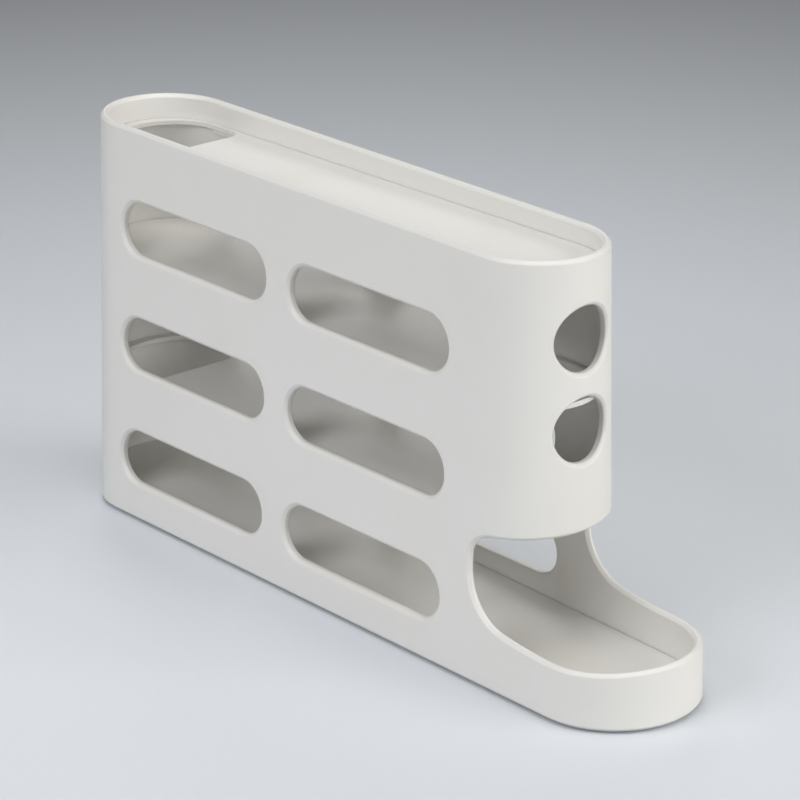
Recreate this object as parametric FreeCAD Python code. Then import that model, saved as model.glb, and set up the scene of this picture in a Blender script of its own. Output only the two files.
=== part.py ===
import FreeCAD, Part

import math
import os

from FreeCAD import Vector

# Housing: a drafted sleeve with half-round upright ends, open at the mouth and at the bottom
overall_length = 402.0
tray_reach = 62.0
bottom_width = 84.0
mouth_width = 67.0
tower_rear_depth = 36.0
tower_front_depth = 34.2
tray_end_depth = 42.0
wall = 4.2
edge_bevel = 1.6
bevel_limit_share = 0.4

# Four tiers, one above the other, and the depth of the top one below the mouth
tier_pitch = 60.8
mouth_depth = 9.8

# Slot windows in both long walls, a row to each of the three lower tiers
window_rows = 3
windows_per_row = 2
window_height = 28.0
window_gap = 17.6
window_rear_margin = 5.8
window_front_margin = 20.4
sill_height = 18.6

# Round holes in the front wall, one below the other; the upper one belongs to the second tier
hole_count = 2
hole_diameter = 32.0
hole_pitch = 43.7
upper_hole_above_sill = 25.4

# Front opening: a lip corner, a short upright edge, a swoop and the bowed rim of the catch tray
lip_corner_radius = 11.5
opening_upright = 6.0
swoop_radius = 26.0
rim_low_height = 25.8
rim_low_setback = 37.0
rim_bow_radius = 242.0

# Ramps: thin plates with a rail under each long edge and a drop hole at the low end
top_ramp_below_sill = 5.8
second_ramp_below_sill = 2.2
third_ramp_below_sill = 2.9
ramp_angle = 0.5
ramp_thickness = 2.4
ramp_gap = 0.3
rail_depth = 2.0
rail_thickness = 2.0
drop_end_margin = 6.0
drop_side_margin = 2.5
drop_length = 50.0
drop_corner_radius = 8.0

# Snap tabs on the ramps' long edges, seated in blind pockets in the housing wall
tab_length = 10.0
tab_height = 1.8
tab_reach = 1.4
tab_play = 0.3
tab_place_shares = (0.24, 0.55, 0.86)

# Base: a sloping floor on a ribbed skirt, with a flange under the housing's bottom edge
floor_below_sill = 4.2
floor_angle = 1.4
floor_thickness = 2.4
skirt_gap = 0.4
skirt_thickness = 2.0
flange_inset = 1.7
flange_width = 8.0
flange_thickness = 1.4
rib_thickness = 1.6
rib_place_shares = (0.2, 0.4, 0.6, 0.8)

# Feet: round soft pads pressed into bosses under the floor
foot_diameter = 14.0
foot_drop = 1.0
foot_recess = 1.2
foot_play = 0.15
boss_wall = 1.8
foot_row_shares = (-0.36, 0.0, 0.40)
foot_side_setback = 20.0

# Reach of a cutting tool past the faces that it cuts, room left around the holes where a tall end
# is made in bands, and how near two faces count as one
overrun = 5.0
band_margin = 2.5
touch_tolerance = 0.001

# Places that follow from the sizes above; heights count from the surface that the feet stand on
rear = -overall_length / 2
tray_front = overall_length / 2
tower_front = tray_front - tray_reach
stand = foot_drop + flange_thickness
top_tier_height = sill_height + window_rows * tier_pitch - top_ramp_below_sill
housing_height = top_tier_height + mouth_depth
draft = (bottom_width - mouth_width) / 2 / housing_height
mouth = stand + housing_height
flat_rear = rear + tower_rear_depth
opening_rear = tower_front - tower_front_depth
window_start = flat_rear + window_rear_margin
window_span = opening_rear - window_front_margin - window_start
window_length = (window_span - window_gap * (windows_per_row - 1)) / windows_per_row
bevel = min(edge_bevel, wall * bevel_limit_share)
bow_center = Vector(tray_front - rim_low_setback, 0, stand + rim_low_height + rim_bow_radius)
swoop_x = opening_rear + swoop_radius
swoop_drop = math.sqrt((rim_bow_radius - swoop_radius) ** 2 - (bow_center.x - swoop_x) ** 2)
swoop_center = Vector(swoop_x, 0, bow_center.z - swoop_drop)
lip = swoop_center.z + opening_upright + lip_corner_radius
upper_hole = stand + sill_height + (window_rows - 1) * tier_pitch + upper_hole_above_sill
lower_hole = upper_hole - (hole_count - 1) * hole_pitch
across = Vector(0, bottom_width + overrun + overrun, 0)


def half_width(height):
    return bottom_width / 2 - draft * (height - stand)


def round_end(base_x, depth, half, height):
    """Half-round outline that bulges forward, or backward with a depth below zero."""
    unit_end = Part.Arc(Vector(0, -1, 0), Vector(1, 0, 0), Vector(0, 1, 0)).toShape()
    stretch = FreeCAD.Matrix()
    stretch.scale(depth, half, 1)
    stretch.move(base_x, 0, height)
    return unit_end.transformGeometry(stretch)


def band_heights(low, high):
    """Levels clear of the lip and of the front holes, at which a tall end is made in bands."""
    reach = hole_diameter / 2 + bevel + band_margin
    levels = [lip + bevel + band_margin]
    for index in range(hole_count):
        middle = lower_hole + index * hole_pitch
        levels += [middle - reach, middle + reach]
    return [low] + sorted(level for level in levels if low < level < high) + [high]


def end_cap(base_x, depth, inset, low, high):
    """Drafted half-round end of a sleeve, set in from its outer face."""
    inner_depth = depth - math.copysign(inset, depth)
    outlines = []
    for height in band_heights(low, high):
        half = half_width(height) - inset
        chord = Part.makeLine(Vector(base_x, half, height), Vector(base_x, -half, height))
        outlines.append(Part.Wire([round_end(base_x, inner_depth, half, height), chord]))
    return Part.makeLoft(outlines, True, True)


def flat_run(start_x, end_x, inset, low, high):
    """Straight drafted stretch of a sleeve between its ends."""
    corners = []
    for height, side in ((low, -1), (low, 1), (high, 1), (high, -1)):
        corners.append(Vector(start_x, side * (half_width(height) - inset), height))
    section = Part.Face(Part.makePolygon(corners + corners[:1]))
    return section.extrude(Vector(end_x - start_x, 0, 0))


def tower(inset, low, high):
    """Solid sleeve of the tower, with a half-round end at the rear and at the front."""
    run = flat_run(flat_rear, opening_rear, inset, low, high)
    rear_cap = end_cap(flat_rear, -tower_rear_depth, inset, low, high)
    front_cap = end_cap(opening_rear, tower_front_depth, inset, low, high)
    return run.fuse([rear_cap, front_cap]).removeSplitter()


def tray(inset, low, high):
    """Solid sleeve from the start of the flat walls to the catch tray's half-round front."""
    base_x = tray_front - tray_end_depth
    run = flat_run(flat_rear, base_x, inset, low, high)
    return run.fuse(end_cap(base_x, tray_end_depth, inset, low, high)).removeSplitter()


def whole_plan(inset, low, high):
    """Solid sleeve over the whole length, from the tower's rear end to the tray's front."""
    rear_cap = end_cap(flat_rear, -tower_rear_depth, inset, low, high)
    return tray(inset, low, high).fuse(rear_cap).removeSplitter()


def through_cut(edges):
    """Side profile, drawn on the middle plane, run across the whole width."""
    face = Part.Face(Part.Wire(edges))
    face.translate(across * -0.5)
    return face.extrude(across)


def polygon(points):
    return Part.makePolygon(points + points[:1]).Edges


def cut_borders(shape, tool, sleeve):
    """Edges of a cut that lie on the skin of a sleeve."""
    reach = tool.BoundBox
    reach.enlarge(overrun)
    skins = [tool.Shells[0], sleeve.Shells[0]]
    borders = []
    for edge in shape.Edges:
        if not reach.isInside(edge.BoundBox):
            continue
        middle = Part.Vertex(edge.valueAt(edge.getParameterByLength(edge.Length / 2)))
        gaps = [skin.distToShape(middle)[0] for skin in skins]
        if max(gaps) < touch_tolerance:
            borders.append(edge)
    return borders


# Cutting tools of the housing
def window_tool(row, column, side):
    """One slot with half-round ends, cut square to a long wall."""
    radius = window_height / 2
    left = window_start + column * (window_length + window_gap)
    right = left + window_length
    low = stand + sill_height + row * tier_pitch
    high = low + window_height
    middle = low + radius
    rear_x = left + radius
    front_x = right - radius
    upper = Part.LineSegment(Vector(rear_x, 0, high), Vector(front_x, 0, high))
    front_end = Part.Arc(Vector(front_x, 0, high), Vector(right, 0, middle), Vector(front_x, 0, low))
    lower = Part.LineSegment(Vector(front_x, 0, low), Vector(rear_x, 0, low))
    rear_end = Part.Arc(Vector(rear_x, 0, low), Vector(left, 0, middle), Vector(rear_x, 0, high))
    slot = Part.Face(Part.Wire([curve.toShape() for curve in (upper, front_end, lower, rear_end)]))
    slot.translate(Vector(0, half_width(middle) - wall - overrun, 0))
    tool = slot.extrude(Vector(0, wall + overrun + overrun, 0))
    tool.rotate(Vector(0, half_width(middle), middle), Vector(1, 0, 0), math.degrees(math.atan(draft)))
    if side < 0:
        tool = tool.mirror(Vector(0, 0, 0), Vector(0, 1, 0))
    return tool


def hole_tool(index):
    start = Vector(tower_front - bottom_width / 2, 0, lower_hole + index * hole_pitch)
    return Part.makeCylinder(hole_diameter / 2, bottom_width / 2 + overrun, start, Vector(1, 0, 0))


def opening_tool():
    """Side profile of the gap between the tower's lip and the rim of the catch tray."""
    end_x = tray_front + overrun
    end_offset = end_x - bow_center.x
    rim_end = Vector(end_x, 0, bow_center.z - math.sqrt(rim_bow_radius ** 2 - end_offset ** 2))
    rim_low = Vector(bow_center.x, 0, bow_center.z - rim_bow_radius)
    meeting_way = (swoop_center - bow_center).normalize()
    meeting = bow_center + meeting_way * rim_bow_radius
    swoop_side = Vector(opening_rear, 0, swoop_center.z)
    swoop_way = (meeting + swoop_side) * 0.5 - swoop_center
    swoop_middle = swoop_center + swoop_way.normalize() * swoop_radius
    corner_center = Vector(opening_rear + lip_corner_radius, 0, lip - lip_corner_radius)
    corner_low = Vector(opening_rear, 0, corner_center.z)
    corner_middle = corner_center + Vector(-1, 0, 1).normalize() * lip_corner_radius
    corner_high = Vector(corner_center.x, 0, lip)
    lip_end = Vector(end_x, 0, lip)
    rim = Part.Arc(rim_end, rim_low, meeting)
    swoop = Part.Arc(meeting, swoop_middle, swoop_side)
    upright = Part.LineSegment(swoop_side, corner_low)
    corner = Part.Arc(corner_low, corner_middle, corner_high)
    lip_line = Part.LineSegment(corner_high, lip_end)
    closing = Part.LineSegment(lip_end, rim_end)
    return through_cut([curve.toShape() for curve in (rim, swoop, upright, corner, lip_line, closing)])


# Ramps: the height of each one's high end, and where that end is
def sill(tier):
    return stand + sill_height + tier * tier_pitch


ramps = {
    "top_ramp": (sill(window_rows) - top_ramp_below_sill, "front"),
    "second_ramp": (sill(window_rows - 1) - second_ramp_below_sill, "rear"),
    "third_ramp": (sill(window_rows - 2) - third_ramp_below_sill, "front"),
}


def ramp_ends(high_end):
    """Places along the length of the high end and of the low end."""
    rear_x = rear + wall + ramp_gap
    front_x = tower_front - wall - ramp_gap
    if high_end == "front":
        return front_x, rear_x
    return rear_x, front_x


def ramp_height(top, high_end, x):
    high_x = ramp_ends(high_end)[0]
    return top - abs(high_x - x) * math.tan(math.radians(ramp_angle))


def ramp_slab(top, high_end, thickness):
    """Sloping slab across the sleeve, from the low end to the high end."""
    high_x, low_x = ramp_ends(high_end)
    deep = Vector(0, 0, thickness)
    high = Vector(high_x, 0, top)
    low = Vector(low_x, 0, ramp_height(top, high_end, low_x))
    return through_cut(polygon([high, low, low - deep, high - deep]))


def drop_hole(high_end):
    """Upright shaft of the drop hole, round along the end wall and square across the ramp."""
    side_inset = wall + drop_side_margin
    if high_end == "front":
        base_x = flat_rear
        edge_x = rear + wall + drop_end_margin + drop_length
        depth = drop_end_margin - drop_side_margin - tower_rear_depth
    else:
        base_x = opening_rear
        edge_x = tower_front - wall - drop_end_margin - drop_length
        depth = tower_front_depth + drop_side_margin - drop_end_margin
    cap = end_cap(base_x, depth, side_inset, stand, mouth)
    run = flat_run(base_x, edge_x, side_inset, stand, mouth)
    corners = [edge for edge in run.Edges if abs(edge.CenterOfMass.x - edge_x) < touch_tolerance]
    corners = [edge for edge in corners if edge.BoundBox.ZLength > drop_length]
    return run.makeFillet(drop_corner_radius, corners).fuse(cap)


def ramp_tab(top, high_end, place_share, side, play):
    """Level snap tab on one rail; with play it is the pocket that takes the tab."""
    high_x, low_x = ramp_ends(high_end)
    middle_x = low_x + (high_x - low_x) * place_share
    under = ramp_height(top, high_end, middle_x) - ramp_thickness
    low = under - tab_height
    inner_face = half_width(low) - wall
    start = inner_face - rail_thickness
    end = inner_face + tab_reach + play
    size_x = tab_length + play + play
    block = Part.makeBox(size_x, end - start, tab_height + play, Vector(middle_x - size_x / 2, start, low))
    if side < 0:
        block = block.mirror(Vector(0, 0, 0), Vector(0, 1, 0))
    return block


def ramp_tabs(top, high_end, play):
    blocks = []
    for place_share in tab_place_shares:
        for side in (-1, 1):
            blocks.append(ramp_tab(top, high_end, place_share, side, play))
    return blocks


def make_ramp(top, high_end):
    plate = ramp_slab(top, high_end, ramp_thickness).common(tower(wall + ramp_gap, stand, mouth))
    outer_run = flat_run(flat_rear, opening_rear, wall + ramp_gap, stand, mouth)
    inner_run = flat_run(flat_rear, opening_rear, wall + ramp_gap + rail_thickness, stand, mouth)
    rails = ramp_slab(top, high_end, ramp_thickness + rail_depth).common(outer_run.cut(inner_run))
    body = plate.cut(drop_hole(high_end)).fuse([rails] + ramp_tabs(top, high_end, 0))
    return body.removeSplitter()


# Housing
def make_housing():
    tray_top = swoop_center.z + opening_upright / 2
    outer = tower(0, stand, mouth).fuse(tray(0, stand, tray_top))
    inner = tower(wall, stand, mouth).fuse(tray(wall, stand, tray_top))
    shell = outer.cut(inner)
    opening = opening_tool()
    cuts = [hole_tool(index) for index in range(hole_count)]
    for row in range(window_rows):
        for column in range(windows_per_row):
            for side in (-1, 1):
                cuts.append(window_tool(row, column, side))
    shell = shell.cut([opening] + cuts).removeSplitter()
    borders = [edge for edge in shell.Edges if edge.BoundBox.ZMin > mouth - touch_tolerance]
    borders += cut_borders(shell, opening, outer)
    borders += cut_borders(shell, opening, inner)
    for cut in cuts:
        borders += cut_borders(shell, cut, outer)
    shell = shell.makeChamfer(bevel, borders)
    pockets = []
    for top, high_end in ramps.values():
        pockets += ramp_tabs(top, high_end, tab_play)
    return shell.cut(pockets)


# Base
def floor_height(x):
    """Upper face of the floor, which falls from the rear to the catch tray."""
    high = stand + sill_height - floor_below_sill
    return high - (x - rear) * math.tan(math.radians(floor_angle))


def under_floor(sink):
    """Everything below the floor's upper face, or below a face sunk under it."""
    rear_x = rear - overrun
    front_x = tray_front + overrun
    low = -overrun
    points = [
        Vector(rear_x, 0, low),
        Vector(front_x, 0, low),
        Vector(front_x, 0, floor_height(front_x) - sink),
        Vector(rear_x, 0, floor_height(rear_x) - sink),
    ]
    return through_cut(polygon(points))


def foot_places():
    places = []
    for row_share in foot_row_shares:
        for side in (-1, 1):
            offset = side * (bottom_width / 2 - foot_side_setback)
            places.append(Vector(row_share * overall_length, offset, 0))
    return places


def upright_disc(diameter, place, low, high):
    return Part.makeCylinder(diameter / 2, high - low, Vector(place.x, place.y, low))


def make_base():
    skirt_inset = wall + skirt_gap
    high = floor_height(rear)
    body = whole_plan(skirt_inset, stand, high).common(under_floor(0))
    under = under_floor(floor_thickness)
    hollow = whole_plan(skirt_inset + skirt_thickness, foot_drop, high)
    body = body.cut(hollow.common(under))
    flange = whole_plan(flange_inset, foot_drop, stand)
    flange = flange.cut(whole_plan(flange_inset + flange_width, foot_drop, stand))
    supports = []
    for place_share in rib_place_shares:
        rib_x = rear + overall_length * place_share
        start = Vector(rib_x - rib_thickness / 2, -across.y / 2, foot_drop)
        rib = Part.makeBox(rib_thickness, across.y, high - foot_drop, start)
        supports.append(rib)
    for place in foot_places():
        boss_diameter = foot_diameter + boss_wall + boss_wall
        supports.append(upright_disc(boss_diameter, place, foot_drop, high))
    supports = [support.common(hollow).common(under) for support in supports]
    body = body.fuse([flange] + supports).removeSplitter()
    recess_diameter = foot_diameter + foot_play + foot_play
    recesses = [upright_disc(recess_diameter, place, 0, foot_drop + foot_recess) for place in foot_places()]
    return body.cut(recesses)


def make_foot(place):
    return upright_disc(foot_diameter, place, 0, foot_drop + foot_recess)


# Every piece by its name
pieces = {"housing": make_housing(), "base_tray": make_base()}
for name, (top, high_end) in ramps.items():
    pieces[name] = make_ramp(top, high_end)
for number, place in enumerate(foot_places(), 1):
    pieces["foot_%d" % number] = make_foot(place)

os.makedirs("parts", exist_ok=True)
for name, shape in pieces.items():
    print(name, "solids", len(shape.Solids), "valid", shape.isValid(), "volume", round(shape.Volume))
    shape.exportStep("parts/%s.step" % name)
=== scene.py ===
import math

import bpy
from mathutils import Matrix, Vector

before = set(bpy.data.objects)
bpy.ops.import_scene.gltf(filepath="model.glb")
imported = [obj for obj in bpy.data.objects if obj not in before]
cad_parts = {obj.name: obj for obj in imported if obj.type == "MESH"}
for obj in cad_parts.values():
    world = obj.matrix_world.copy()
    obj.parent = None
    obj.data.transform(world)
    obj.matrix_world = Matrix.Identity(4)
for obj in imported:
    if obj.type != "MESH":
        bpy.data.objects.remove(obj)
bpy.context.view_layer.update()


# Housing
# One tall white sleeve with half-round ends, injection moulded in ABS, its walls leaning in at the mouth.
# The mould's faces were spark eroded, which leaves a fine satin grain, and every edge is rounded over.
def linear(hex_color):
    """Linear RGBA of an sRGB hex colour."""
    channels = [int(hex_color[i:i + 2], 16) / 255 for i in (1, 3, 5)]
    return [c / 12.92 if c <= 0.04045 else ((c + 0.055) / 1.055) ** 2.4 for c in channels] + [1.0]


def per_meter(size_mm):
    """Texture scale at which one cell of the pattern is about that many millimetres."""
    return 1000 / size_mm


def add_node(tree, kind, values=None, links=None, **settings):
    """Adds a node with its settings, socket values and incoming links."""
    node = tree.nodes.new(kind)
    for name, value in settings.items():
        setattr(node, name, value)
    for name, value in (values or {}).items():
        node.inputs[name].default_value = value
    for name, source in (links or {}).items():
        tree.links.new(source, node.inputs[name])
    return node


def blank_material(name):
    """New material with an empty node tree, and the place on the object that its patterns follow."""
    material = bpy.data.materials.new(name)
    material.use_nodes = True
    material.node_tree.nodes.clear()
    place = add_node(material.node_tree, "ShaderNodeTexCoord").outputs["Object"]
    return material, material.node_tree, place


def moulded_abs(name, color, flow_color, roughness_range, grain_mm, grain_depth, edge_mm):
    """Injection-moulded ABS: an even body colour, faint flow marks, a fine grain and soft rubbed edges."""
    material, tree, place = blank_material(name)

    # The melt cools unevenly as it fills the mould: broad clouds, hardly seen, in tone and in sheen.
    flow_mm = 85
    flow = add_node(
        tree, "ShaderNodeTexNoise",
        {"Scale": per_meter(flow_mm), "Detail": 3.0, "Roughness": 0.55, "Distortion": 0.6},
        {"Vector": place})
    tint = add_node(
        tree, "ShaderNodeMix", {"A": linear(color), "B": linear(flow_color)},
        {"Factor": flow.outputs["Fac"]}, data_type="RGBA")
    sheen = add_node(
        tree, "ShaderNodeMapRange",
        {"From Min": 0.3, "From Max": 0.7, "To Min": roughness_range[0], "To Max": roughness_range[1]},
        {"Value": flow.outputs["Fac"]})

    # Edges are rounded over, and hands and washing rub them a little smoother than the faces.
    edge_polish = 0.12
    edge = add_node(tree, "ShaderNodeBevel", {"Radius": edge_mm / 1000}, samples=8)
    face = add_node(tree, "ShaderNodeNewGeometry")
    turn = add_node(
        tree, "ShaderNodeVectorMath", links={0: edge.outputs["Normal"], 1: face.outputs["Normal"]},
        operation="DOT_PRODUCT")
    rubbed = add_node(
        tree, "ShaderNodeMapRange",
        {"From Min": 0.995, "From Max": 0.9, "To Min": 0.0, "To Max": -edge_polish},
        {"Value": turn.outputs["Value"]})
    roughness = add_node(
        tree, "ShaderNodeMath", links={0: sheen.outputs["Result"], 1: rubbed.outputs["Result"]},
        operation="ADD")

    # The grain is about a tenth of a millimetre, drawn coarser here so that it breaks up the sheen.
    grain = add_node(
        tree, "ShaderNodeTexNoise",
        {"Scale": per_meter(grain_mm), "Detail": 2.0, "Roughness": 0.6}, {"Vector": place})
    relief = add_node(
        tree, "ShaderNodeBump", {"Strength": 0.35, "Distance": grain_depth / 1000},
        {"Height": grain.outputs["Fac"], "Normal": edge.outputs["Normal"]})
    shader = add_node(
        tree, "ShaderNodeBsdfPrincipled", {"IOR": 1.53},
        {"Base Color": tint.outputs["Result"], "Roughness": roughness.outputs["Value"],
         "Normal": relief.outputs["Normal"]})
    add_node(tree, "ShaderNodeOutputMaterial", links={"Surface": shader.outputs["BSDF"]})
    return material


def dress(node, material):
    """Gives a carried-over solid its finish."""
    node.data.materials.clear()
    node.data.materials.append(material)


# Satin, slightly warm white: broad soft highlights along the round ends, a fine bright line on each rim.
housing_abs = moulded_abs("moulded_abs_spark_eroded", "#e7e6e2", "#e3e1dc", (0.40, 0.47), 0.9, 0.02, 1.2)
dress(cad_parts["housing"], housing_abs)


# Ramps
# Three sloping plates of the same ABS, snapped into pockets in the housing wall from below.
# Their upper faces come off a finely stoned mould face, so that what rolls on them runs freely.

# A shade greyer than the housing, with a smoother grain that shows a wide, dim streak of light.
ramp_abs = moulded_abs("moulded_abs_stoned_face", "#e2e1dd", "#dedbd5", (0.44, 0.50), 1.4, 0.01, 0.6)
for ramp in ("top_ramp", "second_ramp", "third_ramp"):
    dress(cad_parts[ramp], ramp_abs)


# Base tray
# The sloping floor and its ribbed skirt, one ABS moulding that the housing is pushed down over.
# It has the ramps' smooth upper face and a flange under the housing's bottom edge.

# Hardly greyer than the ramps, with the same wide, dim sheen.
base_abs = moulded_abs("moulded_abs_stoned_floor", "#e1e0dc", "#dddad4", (0.44, 0.52), 1.4, 0.012, 0.6)
dress(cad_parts["base_tray"], base_abs)


# Feet
# Six round pads of dark grey thermoplastic rubber, pressed into recesses under the floor.
# Moulded rubber has a dull surface with a fine blasted grain.
def moulded_rubber(name, color, dust_color, grain_mm, grain_depth):
    """Moulded thermoplastic rubber: dull, greyer where dust clings to it, with a blasted grain."""
    material, tree, place = blank_material(name)
    dust_mm = 6
    dust = add_node(
        tree, "ShaderNodeTexNoise", {"Scale": per_meter(dust_mm), "Detail": 4.0}, {"Vector": place})
    tint = add_node(
        tree, "ShaderNodeMix", {"A": linear(color), "B": linear(dust_color)},
        {"Factor": dust.outputs["Fac"]}, data_type="RGBA")
    grain = add_node(
        tree, "ShaderNodeTexNoise",
        {"Scale": per_meter(grain_mm), "Detail": 3.0, "Roughness": 0.6}, {"Vector": place})
    worn = add_node(
        tree, "ShaderNodeMapRange", {"To Min": 0.72, "To Max": 0.88}, {"Value": grain.outputs["Fac"]})
    relief = add_node(
        tree, "ShaderNodeBump", {"Strength": 0.5, "Distance": grain_depth / 1000},
        {"Height": grain.outputs["Fac"]})
    shader = add_node(
        tree, "ShaderNodeBsdfPrincipled", {"IOR": 1.52},
        {"Base Color": tint.outputs["Result"], "Roughness": worn.outputs["Result"],
         "Normal": relief.outputs["Normal"]})
    add_node(tree, "ShaderNodeOutputMaterial", links={"Surface": shader.outputs["BSDF"]})
    return material


foot_rubber = moulded_rubber("moulded_rubber_blasted", "#38393b", "#454546", 0.7, 0.03)
for number in range(1, 7):
    dress(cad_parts["foot_%d" % number], foot_rubber)


# Floor
# A plain pale studio sheet that the dispenser stands on, wide enough to fill the view to its far edge.
# Matt paint, rolled on, so its tone and sheen are faintly uneven.
def painted_board(name, color, roller_color):
    """Matt painted board with the faint unevenness of a rolled coat."""
    material, tree, place = blank_material(name)
    nap_mm = 3.0
    nap = add_node(
        tree, "ShaderNodeTexNoise", {"Scale": per_meter(nap_mm), "Detail": 3.0}, {"Vector": place})
    tint = add_node(
        tree, "ShaderNodeMix", {"A": linear(color), "B": linear(roller_color)},
        {"Factor": nap.outputs["Fac"]}, data_type="RGBA")
    gloss = add_node(
        tree, "ShaderNodeMapRange", {"To Min": 0.55, "To Max": 0.65}, {"Value": nap.outputs["Fac"]})
    shader = add_node(
        tree, "ShaderNodeBsdfPrincipled", {"IOR": 1.45},
        {"Base Color": tint.outputs["Result"], "Roughness": gloss.outputs["Result"]})
    add_node(tree, "ShaderNodeOutputMaterial", links={"Surface": shader.outputs["BSDF"]})
    return material


floor_half = 6.0
floor_mesh = bpy.data.meshes.new("studio_floor")
floor_corners = [(x * floor_half, y * floor_half, 0) for x, y in ((-1, -1), (1, -1), (1, 1), (-1, 1))]
floor_mesh.from_pydata(floor_corners, [], [(0, 1, 2, 3)])
floor = bpy.data.objects.new("studio_floor", floor_mesh)
bpy.context.collection.objects.link(floor)
floor_mesh.materials.append(painted_board("painted_board_rolled", "#dbdfe4", "#d9dde2"))


# Light
# Large soft boxes overhead, facing the long side and to the right of the round front, with weaker ones
# beside the camera and behind. Cloth grids narrow them, so the floor falls off to grey further back.
def soft_box(name, place, aim, size, spread, power, color):
    """Rectangular soft box: its size in metres, the spread of its grid in degrees and its power in watts."""
    lamp = bpy.data.lights.new(name, "AREA")
    lamp.shape = "RECTANGLE"
    lamp.size, lamp.size_y = size
    lamp.spread = math.radians(spread)
    lamp.energy = power
    lamp.color = linear(color)[:3]
    box = bpy.data.objects.new(name, lamp)
    box.location = place
    box.rotation_euler = (Vector(aim) - Vector(place)).to_track_quat("-Z", "Y").to_euler()
    bpy.context.collection.objects.link(box)


middle = (0, 0, 0.1)
soft_box("overhead_box", (0.15, -0.2, 1.6), middle, (1.4, 1.4), 80, 3.4, "#ffffff")
soft_box("long_side_box", (-0.15, -1.55, 1.05), middle, (1.4, 1.0), 140, 9.2, "#fbfcff")
soft_box("front_box", (1.59, 0.74, 0.75), middle, (1.2, 1.0), 140, 11.8, "#fffdf9")
soft_box("camera_side_box", (1.6, -0.58, 0.8), middle, (1.2, 1.0), 140, 2.0, "#ffffff")
soft_box("rear_box", (-1.4, 1.0, 1.1), middle, (0.9, 0.9), 60, 0.7, "#ffffff")
world = bpy.data.worlds.new("studio_surround")
world.use_nodes = True
surround = world.node_tree.nodes["Background"]
surround.inputs["Color"].default_value = linear("#e4e4e4")
surround.inputs["Strength"].default_value = 0.10
bpy.context.scene.world = world


# Camera
# A long lens at the photograph's angle: a little above the rim, off the front corner.
azimuth = math.radians(48.668)
elevation = math.radians(21.2025)
distance = 1.61493
aim = Vector((0.012, 0, 0.1023))
back = Vector((
    math.sin(azimuth) * math.cos(elevation),
    -math.cos(azimuth) * math.cos(elevation),
    math.sin(elevation)))
lens = bpy.data.cameras.new("camera")
lens.sensor_width = 36
lens.lens = 151.4
camera = bpy.data.objects.new("camera", lens)
camera.location = aim + back * distance
camera.rotation_euler = (-back).to_track_quat("-Z", "Y").to_euler()
bpy.context.collection.objects.link(camera)
bpy.context.scene.camera = camera
bpy.context.scene.view_settings.view_transform = "Standard"
